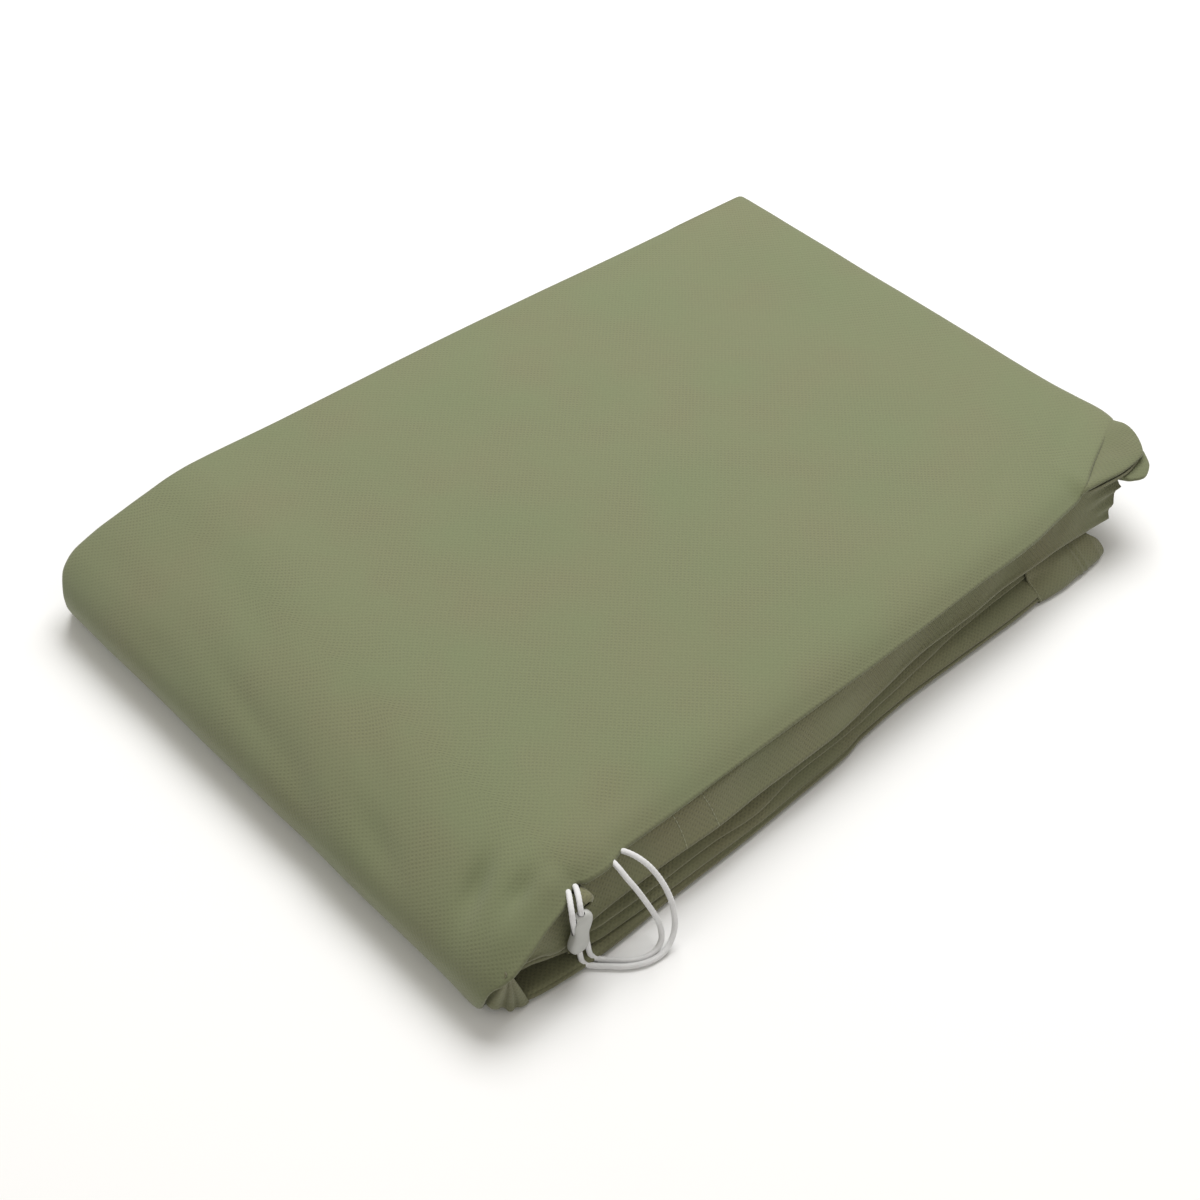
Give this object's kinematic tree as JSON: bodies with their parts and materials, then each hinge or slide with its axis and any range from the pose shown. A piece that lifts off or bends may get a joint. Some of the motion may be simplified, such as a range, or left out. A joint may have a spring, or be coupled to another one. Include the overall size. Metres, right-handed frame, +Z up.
{
  "type": "folded drawcord sack",
  "caption": "Folded non-woven drawcord sack as a flat packet: hinged cover leaf, layered leaves, rolled hem casing, drawcord and sliding cord lock.",
  "frame": {"origin": "centre of the packet's bounding box on the surface it lies on", "axes": "+X from the spine fold to the open end along the long side, +Y from the side with the drawcord to the back, +Z up"},
  "size_m": [0.424, 0.3302, 0.045],
  "materials": {
    "cloth_outer": "matt, embossed dot grid",
    "cloth_inner": "matt, embossed dot grid",
    "thread": "matt sewing thread",
    "cord": "braided",
    "lock_plastic": "satin moulded"
  },
  "bodies": {
    "folded_stack": {"base_leaf": "cloth_inner", "seam_leaf": "cloth_inner", "lower_inner_leaf": "cloth_inner", "upper_inner_leaf": "cloth_inner", "bundle_fold": "cloth_outer", "bundle_ply_lower": "cloth_inner", "bundle_ply_middle": "cloth_inner", "bundle_ply_upper": "cloth_inner", "left_return_fold": "cloth_inner", "right_return_fold": "cloth_inner", "spine_wrap": "cloth_outer", "front_corner_flap": "cloth_inner", "front_corner_pleats": "cloth_inner", "seam_tail_flap": "cloth_outer", "flap_seam_thread": "thread", "side_seam_thread": "thread", "hem_casing": "cloth_outer", "casing_stitches": "thread", "casing_drawcord": "cord", "drawcord_left": "cord", "drawcord_right": "cord", "cord_end_knot": "cord"},
    "cover_leaf": {"cover_outer_ply": "cloth_outer", "cover_inner_ply": "cloth_inner", "corner_tuck": "cloth_outer"},
    "cord_lock": {"cord_lock": "lock_plastic"}
  },
  "joints": [
    {"name": "cover_fold", "type": "hinge", "parent": "folded_stack", "child": "cover_leaf", "pos_m": [-0.212, 0, 0.0225], "axis": [0, -1, 0], "range_deg": [0, 179.5], "deforming": ["spine_wrap"]},
    {"name": "lock_slide", "type": "slide", "parent": "folded_stack", "child": "cord_lock", "axis": [-0.1392, 0, 0.9903], "range_m": [-0.006, 0]}
  ]
}
